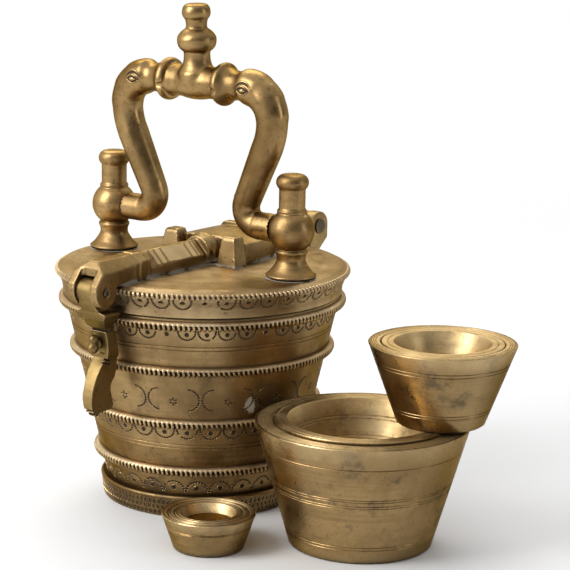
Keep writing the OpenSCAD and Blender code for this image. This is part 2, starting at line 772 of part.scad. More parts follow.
module lug() {
    base = 5.6;
    crest = 3.8;
    mid = tail_half - 3.4;
    intersection() {
        along(-4.6, 4) polygon([[mid - base, lid_z], [mid + base, lid_z], [mid + crest, lid_z + lug_h - 1.4],
                                [mid - 0.8 + crest, lid_z + lug_h], [mid + 0.8 - crest, lid_z + lug_h],
                                [mid - crest, lid_z + lug_h - 1.4]]);
        across(4 * tail_half) polygon([[-4.6, lid_z], [4, lid_z], [4, lid_z + lug_h], [-2.2, lid_z + lug_h],
                                       [-3, lid_z + lug_h - 1.2]]);
    }
}

// Broad half that carries the hinge
module tail() {
    crown = 70;
    neck_y = lid_r - 9;
    intersection() {
        linear_extrude(2 * lid_z)
            polygon(mirrored(concat(
                [[tail_half - 3, tail_front]],
                bend([tail_half - 0.6, tail_front + 4], [tail_half + 1, 24], [tail_half - 4, 33]),
                bend([tail_half - 6, 36], [knuckle_half + 3, 42], [knuckle_half, neck_y]))));
        translate([0, tail_front - 1, lid_z + tail_h - crown]) rotate([-90, 0, 0])
            cylinder(r = crown, h = lid_r, $fn = 180);
        translate([-2 * tail_half, 0, lid_z]) cube([4 * tail_half, lid_r, 2 * tail_h]);
    }
    along(28, 32.6) polygon([[-13, lid_z], [13, lid_z], [12.2, lid_z + tail_h], [10.6, lid_z + tail_h + 1.4],
                             [-10.6, lid_z + tail_h + 1.4], [-12.2, lid_z + tail_h]]);
    across(2 * knuckle_half) {
        translate([hinge_y, hinge_z]) circle(hinge_r - 0.4);
        polygon([[44, lid_z], [lid_r - 1, lid_z], [hinge_y - hinge_r + 2, lid_z + 1.4], [hinge_y, hinge_z],
                 [hinge_y, hinge_z + hinge_r - 0.4], [44, lid_z + tail_h - 0.6]]);
    }
}

module lid_strap() {
    color(dark_brass) difference() {
        union() {
            front_bar();
            swelling();
            for (side = [0, 1]) mirror([side, 0, 0]) lug();
            tail();
        }
        cross_rod(hasp_y, hasp_z, hasp_pin_r + rivet_fit, 4 * fork_half);
        cross_rod(hinge_y, hinge_z, hinge_pin_r + pin_gap, 4 * knuckle_half);
        strap_rivet_shanks(rivet_fit);
    }
}

// The hasp

module hasp_pin() {
    color(iron) cross_rod(hasp_y, hasp_z, hasp_pin_r, 2 * fork_half + 0.8);
}

// Side view of the hasp, drawn from its pin: tongue, shoulder, panel and finger leg.
// Depths are in shares of hasp_back, and heights in shares of hasp_drop.
function hung(points) = [for (p = points) [p[0] * hasp_back, -p[1] * hasp_drop]];

module hasp_side() {
    circle(hasp_knuckle_r);
    polygon(concat(
        [[-hasp_knuckle_r, 0]],
        hung([[-0.386, 0.1], [-0.136, 0.162], [-0.136, 0.18], [-0.023, 0.223], [0.364, 0.302], [0.432, 0.313],
              [0.386, 0.32], [0.523, 0.54]]),
        hung(bend([0.455, 0.558], [-0.182, 0.674], [-0.364, 0.827])),
        hung(bend([-0.375, 0.854], [-0.409, 0.944], [0.068, 1])),
        hung([[0.205, 1], [0.295, 0.977], [1.17, 0.971], [1.273, 0.933]]),
        hung(bend([1.16, 0.872], [0.86, 0.772], [1.273, 0.718])),
        hung([[1.432, 0.647], [1.386, 0.576], [1.33, 0.522], [1.182, 0.432], [1.091, 0.36], [1.02, 0.299],
              [0.99, 0.241], [0.99, 0.176], [0.568, 0.155], [0.523, 0.09]]),
        [[hasp_knuckle_r, 0]]));
}

// Front view of the hasp, in half widths
module hasp_front() {
    d = -hasp_drop;
    tongue = slot_half - 0.2;
    polygon(mirrored(concat(
        [[tongue, hasp_knuckle_r + 1], [tongue, 0.155 * d], [shoulder_half, 0.17 * d]],
        bend([shoulder_half, 0.184 * d], [shoulder_half - 0.5, 0.26 * d], [panel_half - 1, 0.3 * d]),
        [[panel_half - 1, 0.318 * d]],
        bend([panel_half - 0.3, 0.335 * d], [panel_half + 0.9, 0.44 * d], [panel_half - 0.3, 0.535 * d]),
        [[leg_half, 0.568 * d], [leg_half - 0.6, 0.719 * d], [leg_half - 0.9, 0.863 * d],
         [leg_half - 1.2, 0.953 * d], [leg_half - 1.9, 1.007 * d]])));
}

knob_z = -0.4263 * hasp_drop;
panel_front = 0.4545 * hasp_back;
panel_back = 1.17 * hasp_back;

module hasp() {
    color(brass) translate([0, hasp_y, hasp_z]) difference() {
        intersection() {
            across(4 * shoulder_half) hasp_side();
            along(-10, 20) hasp_front();
        }
        cross_rod(0, 0, hasp_pin_r + pin_gap, 4 * shoulder_half);
        translate([0, 20, knob_z]) rotate([90, 0, 0]) cylinder(r = spindle_r + pin_gap, h = 30);
        translate([0, 20, knob_z]) rotate([90, 0, 0])
            cylinder(r = spindle_r + 1.4, h = 20 - panel_back + 1.8);
    }
}

module turn_knob() {
    color(pale_brass) translate([0, hasp_y, hasp_z + knob_z]) {
        rotate([90, 0, 0]) translate([0, 0, -panel_back + 0.2]) {
            cylinder(r = spindle_r + 1.1, h = 1.4);
            cylinder(r = spindle_r, h = panel_back - panel_front + 2.4);
        }
        translate([0, panel_front - 0.9, 0]) rotate([90, 0, 0]) round_disc(lobe_r, 1.2);
        translate([0, panel_front - 3.4, -1.6]) sphere(lobe_r);
        translate([0, panel_front - 3, 2.1]) sphere(lobe_r - 0.3);
    }
}

// The cups

// A plain turned cup; the hollow fits the next cup of the set, which stands proud by its own amount
module cup(rim, base, h, in_rim, in_base, in_h, depth) {
    chamfer_r = base + (rim - base) * cup_chamfer / h;
    rotate_extrude() difference() {
        polygon([[0, 0], [base - cup_chamfer, 0], [chamfer_r, cup_chamfer], [rim, h], [0, h]]);
        translate([0, h - depth]) nest_hollow(in_rim, in_base, depth, in_h);
    }
}

module cup_1() {
    color(brass) translate([0, 0, cup_1_z])
        cup(cup_1_rim, cup_1_base, cup_1_h, cup_2_rim, cup_2_base, cup_2_h, cup_2_h);
}

module cup_2() {
    color(brass) translate(stack_at)
        cup(cup_2_rim, cup_2_base, cup_2_h, cup_3_rim, cup_3_base, cup_3_h, cup_3_h - cup_3_proud);
}

module cup_3() {
    color(pale_brass) translate([stack_at[0], stack_at[1], cup_3_z])
        cup(cup_3_rim, cup_3_base, cup_3_h, cup_4_rim, cup_4_base, cup_4_h, cup_4_h);
}

module cup_4() {
    color(brass) translate([perch_at[0], perch_at[1], cup_4_z])
        cup(cup_4_rim, cup_4_base, cup_4_h, cup_5_rim, cup_5_base, cup_5_h, cup_5_h);
}

module cup_5() {
    color(pale_brass) translate([perch_at[0], perch_at[1], cup_5_z])
        cup(cup_5_rim, cup_5_base, cup_5_h, cup_6_rim, cup_6_base, cup_6_h, cup_6_h);
}

module cup_6() {
    color(brass) translate(small_at)
        cup(cup_6_rim, cup_6_base, cup_6_h, cup_7_rim, cup_7_base, cup_7_h, cup_7_h);
}

module cup_7() {
    color(pale_brass) translate([small_at[0], small_at[1], cup_7_z])
        cup(cup_7_rim, cup_7_base, cup_7_h, cup_8_rim, cup_8_base, cup_8_h, cup_8_h);
}

module cup_8() {
    color(brass) translate([small_at[0], small_at[1], cup_8_z])
        cup(cup_8_rim, cup_8_base, cup_8_h, core_rim, core_base, core_h, core_hollow);
}

module core_weight() {
    color(pale_brass) translate([small_at[0], small_at[1], core_z])
        rotate_extrude() polygon([[0, 0], [core_base, 0], [core_rim, core_h], [0, core_h]]);
}

case_body();
hinge_bracket();
bracket_rivets();
hinge_pin();
lid();
lid_strap();
strap_rivets();
left_pillar();
right_pillar();
bail();
hasp_pin();
hasp();
turn_knob();
cup_1();
cup_2();
cup_3();
cup_4();
cup_5();
cup_6();
cup_7();
cup_8();
core_weight();
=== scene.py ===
import math
import random

import bmesh
import bpy
from mathutils import Matrix, Vector
from mathutils.bvhtree import BVHTree


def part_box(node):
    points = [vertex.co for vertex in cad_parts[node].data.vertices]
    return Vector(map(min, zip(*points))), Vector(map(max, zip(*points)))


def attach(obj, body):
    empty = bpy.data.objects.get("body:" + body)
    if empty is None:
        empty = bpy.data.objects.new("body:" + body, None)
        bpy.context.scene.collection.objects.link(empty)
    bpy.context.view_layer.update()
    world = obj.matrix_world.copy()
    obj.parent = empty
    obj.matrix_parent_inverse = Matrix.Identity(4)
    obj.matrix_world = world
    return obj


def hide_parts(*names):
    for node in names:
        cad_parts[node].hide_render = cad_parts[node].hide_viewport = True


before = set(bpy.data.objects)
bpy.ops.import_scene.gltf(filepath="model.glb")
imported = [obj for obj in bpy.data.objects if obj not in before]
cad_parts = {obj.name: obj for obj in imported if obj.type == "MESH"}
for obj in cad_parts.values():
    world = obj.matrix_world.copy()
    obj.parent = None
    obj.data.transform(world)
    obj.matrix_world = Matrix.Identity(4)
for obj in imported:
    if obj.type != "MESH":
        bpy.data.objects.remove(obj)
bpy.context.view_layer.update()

# The camera
# It stands to the right of the hasp and a little above the lid, far back behind a long lens,
# and is turned, pitched and rolled as the photograph was taken.
photo_px = 570
focal_px = 2100
sensor = 36.0
stand_turn = math.radians(39)
stand_distance = 0.9344
stand_height = 0.298
camera_yaw = 0.040
camera_pitch = 0.212
camera_roll = 0.018

forward = Vector((math.sin(camera_yaw) * math.cos(camera_pitch),
                  math.cos(camera_yaw) * math.cos(camera_pitch),
                  -math.sin(camera_pitch)))
level_right = Vector((math.cos(camera_yaw), -math.sin(camera_yaw), 0))
level_down = forward.cross(level_right)
right = math.cos(camera_roll) * level_right - math.sin(camera_roll) * level_down
down = math.sin(camera_roll) * level_right + math.cos(camera_roll) * level_down
camera_axes = Matrix((right, -down, -forward)).transposed().to_4x4()
camera_place = Matrix.Translation((0, -stand_distance, stand_height)) @ camera_axes
lens = bpy.data.cameras.new("camera")
lens.sensor_width = sensor
lens.lens = sensor * focal_px / photo_px
camera = bpy.data.objects.new("camera", lens)
camera.matrix_world = Matrix.Rotation(stand_turn, 4, "Z") @ camera_place
bpy.context.scene.collection.objects.link(camera)
bpy.context.scene.camera = camera
bpy.context.scene.view_settings.view_transform = "Standard"


# The case
# The master cup, turned from thick cast brass on a flat foot. Fine lines are scribed between
# its bead rings, and its wall carries rows of small punched ornament.
mm = 0.001
weld = 0.002 * mm
case_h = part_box("case_body")[1].z
foot_r = 44.8 * mm
foot_top = 9.1 * mm
foot_ridge_r = 46.1 * mm
foot_round = 1.0 * mm
foot_edge = [(-0.8 * mm, 0), (-0.1 * mm, 0.3 * mm), (0.1 * mm, 1 * mm)]
wall_foot_z = foot_top + foot_round
wall_foot_r = 43.4 * mm
wall_rim_r = 62.8 * mm
wall_slope = (wall_rim_r - wall_foot_r) / (case_h - wall_foot_z)
case_inside_rim_r = 57.9 * mm
case_inside_floor_r = 39.7 * mm
case_floor_z = 19.0 * mm
rim_soft = 0.6 * mm
scribed_zs = [33.2 * mm, 34.9 * mm, 80.0 * mm, 81.7 * mm]
scribe_w = 0.32 * mm
scribe_d = 0.24 * mm
scribe_flat = 0.3
sector_steps = 8
case_sectors = 36

brass_bright = (0.345, 0.223, 0.094, 1)
brass_deep = (0.172, 0.104, 0.041, 1)
# Near black: the colour of dark specks, and of the painted shade in corners.
speck_and_shade_dark = (0.036, 0.024, 0.012, 1)
brass_rubbed = (0.66, 0.49, 0.26, 1)
# Dark brown for the painted shade on the right side of some cups.
painted_side_shade = (0.085, 0.062, 0.036, 1)
brass_stain = (0.082, 0.060, 0.040, 1)
brass_pale = (0.52, 0.50, 0.44, 1)
edge_tint = (0.47, 0.40, 0.31, 1)
cloud_scale = 26
stain_scale = 62
mottle_scale = 130
band_scale = 300
ragged_scale = 420
speck_scale = 620
file_scale = 1100
lathe_scale = 1500
grain_scale = 1900
lathe_run = 0.0012
file_run = (1, 1, 0.09)
# Painted shade on a cup: towards the camera's right, growing between these distances, ragged.
dark_side = (0.78, 0.63)
dark_from = 5 * mm
dark_to = 45 * mm
dark_ragged = 30 * mm
solder_spot = Vector((47.2 * mm, -24.9 * mm, 53.5 * mm))
solder_tall = Vector((1, 1, 0.55))
solder_ragged = 7 * mm
solder_full = 5.0 * mm
solder_end = 6.4 * mm
bump_strength = 0.5
bump_reach = 0.12 * mm


def wall_r(z):
    return wall_foot_r + wall_slope * (z - wall_foot_z)


def arc_points(r, z, radius, start, end, count):
    turns = [math.radians(start + (end - start) * i / count) for i in range(count + 1)]
    return [(r + radius * math.cos(t), z + radius * math.sin(t)) for t in turns]


def scribe(start, end, places, width, depth):
    """Points along a straight wall with a fine cut at each place, given as a share of its length."""
    a = Vector(start)
    b = Vector(end)
    along = (b - a).normalized()
    inward = Vector((-along.y, along.x))
    points = [a]
    for share in sorted(places):
        mid = a.lerp(b, share)
        points += [mid - along * width, mid - along * width * scribe_flat + inward * depth]
        points += [mid + along * width * scribe_flat + inward * depth, mid + along * width]
    points.append(b)
    return [tuple(p) for p in points]


def soft_object(name, bm, sharp_deg=40):
    """Finishes a mesh: smooth faces, with the edges that stay crisp marked, at the origin."""
    for face in bm.faces:
        face.smooth = True
    for edge in bm.edges:
        if len(edge.link_faces) == 2 and edge.calc_face_angle() > math.radians(sharp_deg):
            edge.smooth = False
    mesh = bpy.data.meshes.new(name)
    bm.to_mesh(mesh)
    bm.free()
    piece = bpy.data.objects.new(name, mesh)
    bpy.context.scene.collection.objects.link(piece)
    return piece


def turn(name, outline, sectors, centre=(0, 0), closed=False, shape=None, paint=None):
    """A piece turned on the lathe from an outline of radius and height.
    One sector is spun and then repeated all round. paint gives each face's material,
    and shape then moves each point."""
    sector_bm = bmesh.new()
    verts = [sector_bm.verts.new((r, 0, z)) for r, z in outline]
    edges = [sector_bm.edges.new(pair) for pair in zip(verts, verts[1:])]
    if closed:
        edges.append(sector_bm.edges.new((verts[-1], verts[0])))
    bmesh.ops.spin(sector_bm, geom=verts + edges, cent=(0, 0, 0), axis=(0, 0, 1),
                   angle=2 * math.pi / sectors, steps=sector_steps)
    sector = bpy.data.meshes.new(name)
    sector_bm.to_mesh(sector)
    sector_bm.free()
    bm = bmesh.new()
    for n in range(sectors):
        turned = sector.copy()
        turned.transform(Matrix.Rotation(2 * math.pi * n / sectors, 4, "Z"))
        bm.from_mesh(turned)
        bpy.data.meshes.remove(turned)
    bpy.data.meshes.remove(sector)
    bmesh.ops.remove_doubles(bm, verts=bm.verts, dist=weld)
    bmesh.ops.recalc_face_normals(bm, faces=bm.faces)
    if paint:
        for face in bm.faces:
            face.material_index = paint(face.calc_center_median())
    if shape:
        for v in bm.verts:
            shape(v)
    bmesh.ops.translate(bm, verts=bm.verts, vec=(centre[0], centre[1], 0))
    return soft_object(name, bm)


def add_node(tree, kind, inputs=None, **settings):
    made = tree.nodes.new(kind)
    for key, value in settings.items():
        setattr(made, key, value)
    for socket, value in (inputs or {}).items():
        if isinstance(value, bpy.types.NodeSocket):
            tree.links.new(value, made.inputs[socket])
        else:
            made.inputs[socket].default_value = value
    return made


def calc(tree, operation, a, b=0.0, clamp=False):
    made = add_node(tree, "ShaderNodeMath", {0: a, 1: b}, operation=operation, use_clamp=clamp)
    return made.outputs[0]


def spread(tree, value, low, high, to_low=0.0, to_high=1.0):
    """Stretches a value from one range to another, clamped and eased."""
    made = add_node(tree, "ShaderNodeMapRange", {"Value": value, "From Min": low, "From Max": high,
                                                 "To Min": to_low, "To Max": to_high})
    made.interpolation_type = "SMOOTHSTEP"
    return made.outputs[0]


def mix(tree, share, a, b):
    made = add_node(tree, "ShaderNodeMix", {0: share, 6: a, 7: b}, data_type="RGBA")
    return made.outputs[2]


def noise(tree, place, scale, detail=4.0, rough=0.55):
    made = add_node(tree, "ShaderNodeTexNoise", {"Vector": place, "Scale": scale, "Detail": detail,
                                                 "Roughness": rough})
    return made.outputs["Fac"]


def vector(tree, operation, a, b=(0, 0, 0)):
    return add_node(tree, "ShaderNodeVectorMath", {0: a, 1: b}, operation=operation)


def aged_brass(name, bright, deep, rough, lathe=None, lathe_depth=0.5, cast=0.3, nook_reach=5 * mm,
               residue=None, wear=0.6, stain=0.0, filed=0.0, spot=None, side_shade=0.0):
    """Old brass: blotched brown patina, painted shade with grime in the corners, edges rubbed bright.
    lathe is the centre that turning marks run round, and side_shade the strength of a painted shade
    on the side of a piece so turned that faces right from the camera. filed is the strength of upright
    file marks, stain that of dark blots, residue the heights between which pale polish is left in the
    seams, and spot the place of a patch of solder."""
    material = bpy.data.materials.new(name)
    material.use_nodes = True
    tree = material.node_tree
    shader = tree.nodes["Principled BSDF"]
    place = add_node(tree, "ShaderNodeTexCoord").outputs["Object"]
    cloud = noise(tree, place, cloud_scale, 5, 0.6)
    mottle = noise(tree, place, mottle_scale, 5, 0.62)
    speck = noise(tree, place, speck_scale, 3, 0.6)
    grain = noise(tree, place, grain_scale, 3, 0.6)
    tone = mix(tree, spread(tree, cloud, 0.36, 0.66), deep, bright)
    tone = mix(tree, spread(tree, mottle, 0.50, 0.74, 0.0, 0.60), tone, deep)
    tone = mix(tree, spread(tree, speck, 0.58, 0.72, 0.0, 0.60), tone, speck_and_shade_dark)
    height = calc(tree, "MULTIPLY", mottle, cast)
    height = calc(tree, "ADD", height, calc(tree, "MULTIPLY", grain, 0.25 * cast))
    if lathe is not None:
        from_centre = vector(tree, "SUBTRACT", place, (lathe[0], lathe[1], 0)).outputs[0]
        x, y, z = add_node(tree, "ShaderNodeSeparateXYZ", {0: from_centre}).outputs
        angle = calc(tree, "ARCTAN2", y, x)
        squares = calc(tree, "ADD", calc(tree, "POWER", x, 2.0), calc(tree, "POWER", y, 2.0))
        ring = add_node(tree, "ShaderNodeCombineXYZ",
                        {0: calc(tree, "SQRT", squares), 1: z,
                         2: calc(tree, "MULTIPLY", angle, lathe_run)}).outputs[0]
        lines = noise(tree, ring, lathe_scale, 4, 0.7)
        bands = noise(tree, ring, band_scale, 3, 0.6)
        tone = mix(tree, spread(tree, bands, 0.46, 0.66, 0.0, 0.62), tone, deep)
        tone = mix(tree, spread(tree, lines, 0.52, 0.68, 0.0, 0.60), tone, deep)
        height = calc(tree, "ADD", height, calc(tree, "MULTIPLY", lines, lathe_depth))
        # Painted shade: the cup is darkened towards the camera's right.
        if side_shade:
            side = calc(tree, "ADD", calc(tree, "MULTIPLY", x, dark_side[0]),
                        calc(tree, "MULTIPLY", y, dark_side[1]))
            side = calc(tree, "ADD", side, calc(tree, "MULTIPLY", cloud, dark_ragged))
            tone = mix(tree, spread(tree, side, dark_from, dark_to, 0.0, side_shade), tone, painted_side_shade)
    if filed:
        strokes = noise(tree, vector(tree, "MULTIPLY", place, file_run).outputs[0], file_scale, 4, 0.65)
        tone = mix(tree, spread(tree, strokes, 0.52, 0.70, 0.0, 0.55), tone, deep)
        height = calc(tree, "ADD", height, calc(tree, "MULTIPLY", strokes, filed))
    if stain:
        blot = spread(tree, noise(tree, place, stain_scale, 7, 0.72), 0.53, 0.68, 0.0, stain)
        tone = mix(tree, blot, tone, brass_stain)
    # Painted shade with grime: where the AO node finds the brass hemmed in, it is darkened.
    nook = add_node(tree, "ShaderNodeAmbientOcclusion", {"Distance": nook_reach}, samples=8).outputs["AO"]
    grime_and_nook_shade = spread(tree, nook, 0.30, 0.86, 0.88, 0.0)
    grime_and_nook_shade = calc(tree, "MULTIPLY", grime_and_nook_shade, spread(tree, mottle, 0.25, 0.55, 0.55, 1.0))
    tone = mix(tree, grime_and_nook_shade, tone, speck_and_shade_dark)
    point = add_node(tree, "ShaderNodeNewGeometry").outputs["Pointiness"]
    rubbed = calc(tree, "MULTIPLY", spread(tree, point, 0.515, 0.58, 0.0, wear),
                  spread(tree, cloud, 0.25, 0.60, 0.45, 1.0))
    tone = mix(tree, rubbed, tone, brass_rubbed)
    gloss = spread(tree, mottle, 0.30, 0.70, rough - 0.07, rough + 0.10)
    gloss = calc(tree, "ADD", gloss, calc(tree, "MULTIPLY", grime_and_nook_shade, 0.30))
    if stain:
        gloss = calc(tree, "ADD", gloss, calc(tree, "MULTIPLY", blot, 0.25))
    gloss = calc(tree, "SUBTRACT", gloss, calc(tree, "MULTIPLY", rubbed, 0.12), clamp=True)
    shader.inputs["Metallic"].default_value = 1.0
    shader.inputs["Specular Tint"].default_value = edge_tint
    pale = None
    if residue:
        level = add_node(tree, "ShaderNodeSeparateXYZ", {0: place}).outputs[2]
        within = calc(tree, "MULTIPLY", calc(tree, "GREATER_THAN", level, residue[0]),
                      calc(tree, "LESS_THAN", level, residue[1]))
        pale = calc(tree, "MULTIPLY", spread(tree, nook, 0.45, 0.74, 0.95, 0.0),
                    spread(tree, mottle, 0.36, 0.54))
        pale = calc(tree, "MULTIPLY", pale, within)
    if spot:
        squashed = vector(tree, "MULTIPLY", place, solder_tall).outputs[0]
        apart = vector(tree, "DISTANCE", squashed, spot * solder_tall).outputs["Value"]
        ragged = calc(tree, "MULTIPLY", noise(tree, place, ragged_scale, 4, 0.7), solder_ragged)
        pale = spread(tree, calc(tree, "ADD", apart, ragged), solder_full, solder_end, 0.85, 0.0)
    if pale:
        tone = mix(tree, pale, tone, brass_pale)
        gloss = calc(tree, "ADD", gloss, calc(tree, "MULTIPLY", pale, 0.30), clamp=True)
        tree.links.new(calc(tree, "SUBTRACT", 1.0, pale), shader.inputs["Metallic"])
    bump = add_node(tree, "ShaderNodeBump", {"Height": height, "Strength": bump_strength,
                                             "Distance": bump_reach})
    tree.links.new(tone, shader.inputs["Base Color"])
    tree.links.new(gloss, shader.inputs["Roughness"])
    tree.links.new(bump.outputs[0], shader.inputs["Normal"])
    return material


def dress(piece, material, body, slot, *nodes):
    """Gives a piece its finish and its body, and hides the CAD nodes that it stands for."""
    piece.data.materials.append(material)
    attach(piece, body)
    if nodes:
        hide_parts(*nodes)


wall_end_z = case_h - rim_soft
scribed_shares = [(z - wall_foot_z) / (wall_end_z - wall_foot_z) for z in scribed_zs]
case_outline = [(0, 0)] + [(foot_r + out, up) for out, up in foot_edge]
case_outline += arc_points(foot_ridge_r - foot_round, foot_top, foot_round, start=-60, end=120, count=8)
case_outline += scribe((wall_foot_r, wall_foot_z), (wall_r(wall_end_z), wall_end_z), scribed_shares,
                       scribe_w, scribe_d)
case_outline += [(wall_rim_r - rim_soft, case_h), (case_inside_rim_r + rim_soft, case_h),
                 (case_inside_rim_r, wall_end_z), (case_inside_floor_r, case_floor_z), (0, case_floor_z)]
case_brass = aged_brass("case_brass", brass_bright, brass_deep, rough=0.38, lathe=(0, 0), wear=0.5,
                        stain=0.55, spot=solder_spot)
case = turn("case_wall", case_outline, case_sectors)
dress(case, case_brass, "case", "case_brass", "case_body")


# The bead rings
# Four turned beads run round the case. Their upper half is smooth and rubbed bright, and painted
# lighter as though lit from above; their lower half is nicked all round with a file, so that it looks
# like a rope. The deepest nicks carry a dark fill: painted shade, with old grime.
bead_zs = [22 * mm, 45 * mm, 70 * mm, case_h - 3.1 * mm]
bead_h = 4.2 * mm
bead_reach = 3.2 * mm
bead_steps = 14
bead_nicked = 0.50
nick_pitch = 2.2 * mm
nick_depth = 1.15 * mm
nick_most = 0.7
nick_flat = 0.16
nick_flank = 0.12
nick_slant = 0.14
nick_fade = 0.2
nick_filled = 0.72
# The paler top of a bead, rubbed and painted as lit from above, reaches this far into the nicks.
rubbed_and_lit_margin = 0.25
nook_dark = (0.014, 0.009, 0.005, 1)
nook_brown = (0.066, 0.042, 0.021, 1)
nook_scale = 400

bead_brass = aged_brass("bead_brass", (0.50, 0.345, 0.165, 1), brass_deep, rough=0.33, lathe=(0, 0),
                        lathe_depth=0.2, nook_reach=2.5 * mm, wear=0.9)
# Rubbed brass painted pale, as though lit from above, for the beads' upper halves and the lid's rope.
rubbed_and_lit_brass = aged_brass("rubbed_and_lit_brass", (0.80, 0.64, 0.42, 1), (0.50, 0.36, 0.20, 1), rough=0.47,
                          lathe=(0, 0), lathe_depth=0.2, nook_reach=1.2 * mm, wear=0.5)

# Dark fill for deep nicks, punch dishes, cut eyes and hasp grooves: painted shade, with old grime.
nook_grime_and_shade = bpy.data.materials.new("nook_grime_and_shade")
nook_grime_and_shade.use_nodes = True
nook_tree = nook_grime_and_shade.node_tree
nook_shader = nook_tree.nodes["Principled BSDF"]
nook_place = add_node(nook_tree, "ShaderNodeTexCoord").outputs["Object"]
nook_tone = mix(nook_tree, noise(nook_tree, nook_place, nook_scale), nook_dark, nook_brown)
nook_tree.links.new(nook_tone, nook_shader.inputs["Base Color"])
nook_shader.inputs["Roughness"].default_value = 0.6
nook_shader.inputs["Metallic"].default_value = 0.6


def roped_bead(name, crest_r, mid_z, height, reach, nicked_below):
    """A bead ring, nicked below a given share of its half height."""
    half = height / 2
    mid_r = crest_r - half
    back_r = crest_r - reach - half
    teeth = round(2 * math.pi * crest_r / nick_pitch)
    outline = [(back_r, mid_z + half)]
    outline += arc_points(mid_r, mid_z, half, start=90, end=-90, count=bead_steps)
    outline.append((back_r, mid_z - half))

    def cut_at(x, y, z):
        if math.hypot(x, y) < mid_r - 0.1 * mm:
            return 0
        side = (z - mid_z) / half
        share = (teeth * math.atan2(y, x) / (2 * math.pi) + nick_slant * side) % 1
        across = min(1, max(0, 1 - (abs(share - 0.5) - nick_flat) / nick_flank))
        return across * min(1, max(0, (nicked_below - side) / nick_fade))

    def nick(v):
        out = math.hypot(v.co.x, v.co.y) - mid_r
        squeeze = 1 - cut_at(*v.co) * min(nick_most, nick_depth / half)
        turned = (mid_r + out * squeeze) / (mid_r + out)
        v.co.x *= turned
        v.co.y *= turned
        v.co.z = mid_z + (v.co.z - mid_z) * squeeze

    def shade(at):
        # Deep nicks: painted shade with grime; upper part: rubbed brass painted as lit from above.
        if cut_at(*at) > nick_filled:
            return 1
        return 2 if (at.z - mid_z) / half > nicked_below - rubbed_and_lit_margin else 0

    return turn(name, outline, teeth, closed=True, shape=nick, paint=shade)


for number, z in enumerate(bead_zs, 1):
    bead = roped_bead(f"case_bead_{number}", wall_r(z) + bead_reach, z, bead_h, bead_reach, bead_nicked)
    dress(bead, bead_brass, "case", "case_brass")
    bead.data.materials.append(nook_grime_and_shade)
    bead.data.materials.append(rubbed_and_lit_brass)


# The punched ornament of the case
# Rows of arcs, eyes and stars set with small hand punches: each mark is a little dish
# with a raised burr, its floor dark with painted shade and old grime. Worn places have lost some of them.
dot_r = 0.66 * mm
dot_narrow = 0.82
eye_r = 1.45 * mm
burr_h = 0.09 * mm
burr_w = 0.10
dish_drop = 0.07 * mm
arc_marks = 12
worn_share = 0.14
missed_share = 0.05
pair_count = 14
pair_z = 56.6 * mm
pair_r = 5.0 * mm
pair_gap = 0.7 * mm
pair_half = 6
pair_step = 13.5
pair_long = 1.7 * dot_r
pair_short = 1.15 * dot_r
pair_wide = 0.8 * dot_r
star_strokes = 6
star_r = 1.3 * mm
star_drop = 0.8 * mm
star_long = 1.4 * dot_r
star_wide = 0.7 * dot_r
hatch_count = 128
hatch_long = 1.75 * mm
hatch_wide = 0.66 * mm
hatch_cuts = [(2.0 * mm, 120, 0.75 * mm), (4.4 * mm, 96, 0.0), (6.8 * mm, 70, 0.45 * mm)]
foot_lean = 0.82
hand = random.Random(11)

punch_bm = bmesh.new()
bmesh.ops.create_cone(punch_bm, cap_ends=True, segments=8, radius1=1.0, radius2=0.9, depth=2 * burr_h)
punch_faces = sorted(punch_bm.faces, key=lambda f: f.calc_center_median().z)
dish = punch_faces[-1]
bmesh.ops.delete(punch_bm, geom=[punch_faces[0]], context="FACES_ONLY")
bmesh.ops.inset_individual(punch_bm, faces=[dish], thickness=burr_w, depth=0, use_even_offset=False)
bmesh.ops.translate(punch_bm, verts=dish.verts, vec=(0, 0, -dish_drop))
# The dish floor takes the dark fill: painted shade, with old grime.
dish.material_index = 1
punch = bpy.data.meshes.new("punch")
punch_bm.to_mesh(punch)
punch_bm.free()


def set_mark(bm, radius_at, angle, z, turn_deg, length, width):
    """Sets one punched mark on a turned wall, at an angle and a height."""
    step = 0.2 * mm
    slope = (radius_at(z + step) - radius_at(z - step)) / (2 * step)
    out = Vector((math.cos(angle), math.sin(angle), -slope)).normalized()
    round_way = Vector((-math.sin(angle), math.cos(angle), 0))
    up = out.cross(round_way)
    t = math.radians(turn_deg)
    long_way = (round_way * math.cos(t) + up * math.sin(t)) * length
    short_way = (up * math.cos(t) - round_way * math.sin(t)) * width
    place = Matrix((long_way, short_way, out)).transposed().to_4x4()
    place.translation = (radius_at(z) * math.cos(angle), radius_at(z) * math.sin(angle), z)
    stamped = punch.copy()
    stamped.transform(place)
    bm.from_mesh(stamped)
    bpy.data.meshes.remove(stamped)


def arc_row(bm, radius_at, mid_z, up_sign, arc_r, arc_pitch, dot, eye, eye_share):
    """A row of half circles of marks round a wall, each with an eye in it."""
    count = round(2 * math.pi * radius_at(mid_z) / arc_pitch)
    for n in range(count):
        middle = 2 * math.pi * n / count
        worn = hand.random() < worn_share
        for k in range(arc_marks + 1):
            t = math.pi * k / arc_marks
            if worn or hand.random() < missed_share:
                continue
            z = mid_z + up_sign * arc_r * math.sin(t)
            angle = middle + arc_r * math.cos(t) / radius_at(z)
            set_mark(bm, radius_at, angle, z, math.degrees(t) * up_sign + 90, dot, dot * dot_narrow)
        z = mid_z + up_sign * arc_r * eye_share
        set_mark(bm, radius_at, middle, z, 0, eye, eye)


